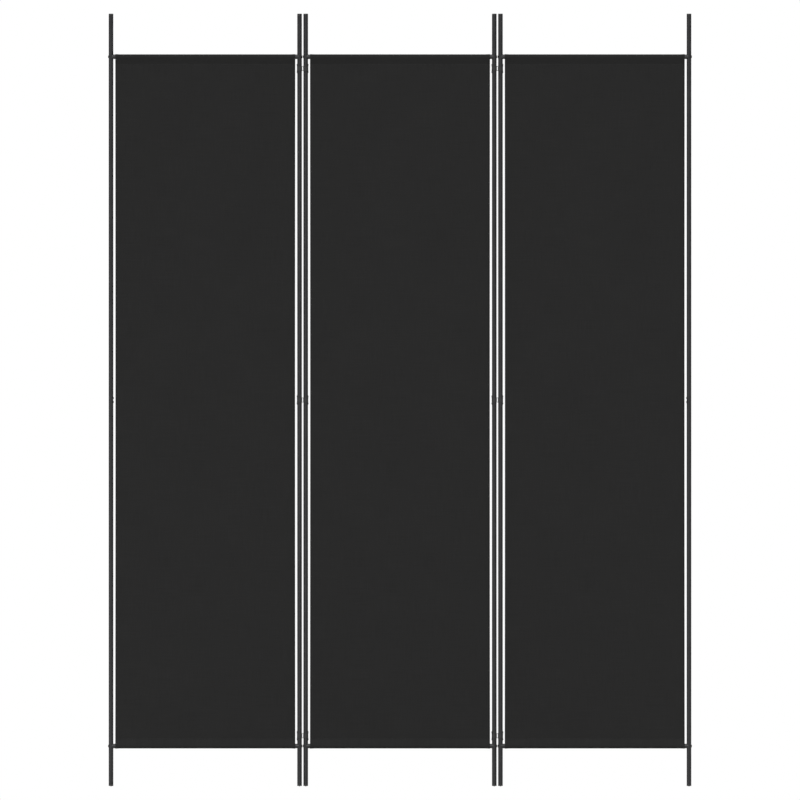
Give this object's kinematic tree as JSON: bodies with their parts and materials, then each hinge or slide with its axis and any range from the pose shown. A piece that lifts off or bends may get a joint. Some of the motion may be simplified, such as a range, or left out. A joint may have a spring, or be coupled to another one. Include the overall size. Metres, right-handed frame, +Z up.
{
  "type": "folding room divider",
  "caption": "Folding room divider with fabric panels stretched between tubular steel poles, joined by double-sleeve hinge links.",
  "frame": {"origin": "on the floor under the middle of the unfolded screen, at the centre of its bottom outline", "axes": "+Z up along the poles, +X along the unfolded screen to the right as seen from the front, -Y towards the front"},
  "size_m": [1.511, 0.0156, 2],
  "materials": {
    "black_polyester_cloth": "plain woven polyester, matt",
    "black_powder_coated_steel": "black powder coat on steel tube, satin",
    "black_nylon": "moulded nylon, matt",
    "black_end_plug_plastic": "moulded polyethylene, matt",
    "black_oxide_screws": "black oxide on steel, slightly oily",
    "bare_steel": "zinc-plated steel, hidden inside the tubes"
  },
  "bodies": {
    "centre_panel": {"centre_panel_bar_inserts": "bare_steel", "centre_panel_bar_screws": "black_oxide_screws", "centre_panel_bottom_bar": "black_powder_coated_steel", "centre_panel_fabric": "black_polyester_cloth", "centre_panel_joint_screws": "black_oxide_screws", "centre_panel_left_foot": "black_end_plug_plastic", "centre_panel_left_pole_lower": "black_powder_coated_steel", "centre_panel_left_pole_spigot": "bare_steel", "centre_panel_left_pole_upper": "black_powder_coated_steel", "centre_panel_left_top_cap": "black_end_plug_plastic", "centre_panel_right_foot": "black_end_plug_plastic", "centre_panel_right_pole_lower": "black_powder_coated_steel", "centre_panel_right_pole_spigot": "bare_steel", "centre_panel_right_pole_upper": "black_powder_coated_steel", "centre_panel_right_top_cap": "black_end_plug_plastic", "centre_panel_stop_screws": "black_oxide_screws", "centre_panel_top_bar": "black_powder_coated_steel"},
    "left_links": {"left_lower_hinge_link": "black_nylon", "left_middle_hinge_link": "black_nylon", "left_upper_hinge_link": "black_nylon"},
    "left_panel": {"left_panel_bar_inserts": "bare_steel", "left_panel_bar_screws": "black_oxide_screws", "left_panel_bottom_bar": "black_powder_coated_steel", "left_panel_fabric": "black_polyester_cloth", "left_panel_joint_screws": "black_oxide_screws", "left_panel_left_foot": "black_end_plug_plastic", "left_panel_left_pole_lower": "black_powder_coated_steel", "left_panel_left_pole_spigot": "bare_steel", "left_panel_left_pole_upper": "black_powder_coated_steel", "left_panel_left_top_cap": "black_end_plug_plastic", "left_panel_right_foot": "black_end_plug_plastic", "left_panel_right_pole_lower": "black_powder_coated_steel", "left_panel_right_pole_spigot": "bare_steel", "left_panel_right_pole_upper": "black_powder_coated_steel", "left_panel_right_top_cap": "black_end_plug_plastic", "left_panel_stop_screws": "black_oxide_screws", "left_panel_top_bar": "black_powder_coated_steel"},
    "right_links": {"right_lower_hinge_link": "black_nylon", "right_middle_hinge_link": "black_nylon", "right_upper_hinge_link": "black_nylon"},
    "right_panel": {"right_panel_bar_inserts": "bare_steel", "right_panel_bar_screws": "black_oxide_screws", "right_panel_bottom_bar": "black_powder_coated_steel", "right_panel_fabric": "black_polyester_cloth", "right_panel_joint_screws": "black_oxide_screws", "right_panel_left_foot": "black_end_plug_plastic", "right_panel_left_pole_lower": "black_powder_coated_steel", "right_panel_left_pole_spigot": "bare_steel", "right_panel_left_pole_upper": "black_powder_coated_steel", "right_panel_left_top_cap": "black_end_plug_plastic", "right_panel_right_foot": "black_end_plug_plastic", "right_panel_right_pole_lower": "black_powder_coated_steel", "right_panel_right_pole_spigot": "bare_steel", "right_panel_right_pole_upper": "black_powder_coated_steel", "right_panel_right_top_cap": "black_end_plug_plastic", "right_panel_stop_screws": "black_oxide_screws", "right_panel_top_bar": "black_powder_coated_steel"}
  },
  "joints": [
    {"name": "left_inner_turn", "type": "hinge", "parent": "centre_panel", "child": "left_links", "pos_m": [-0.244, 0, 1], "axis": [0, 0, 1], "range_deg": [-25, 90]},
    {"name": "left_outer_turn", "type": "hinge", "parent": "left_links", "child": "left_panel", "pos_m": [-0.26, 0, 1], "axis": [0, 0, 1], "range_deg": [-60, 90]},
    {"name": "right_inner_turn", "type": "hinge", "parent": "centre_panel", "child": "right_links", "pos_m": [0.244, 0, 1], "axis": [0, 0, 1], "range_deg": [-25, 90]},
    {"name": "right_outer_turn", "type": "hinge", "parent": "right_links", "child": "right_panel", "pos_m": [0.26, 0, 1], "axis": [0, 0, 1], "range_deg": [-60, 90]}
  ]
}
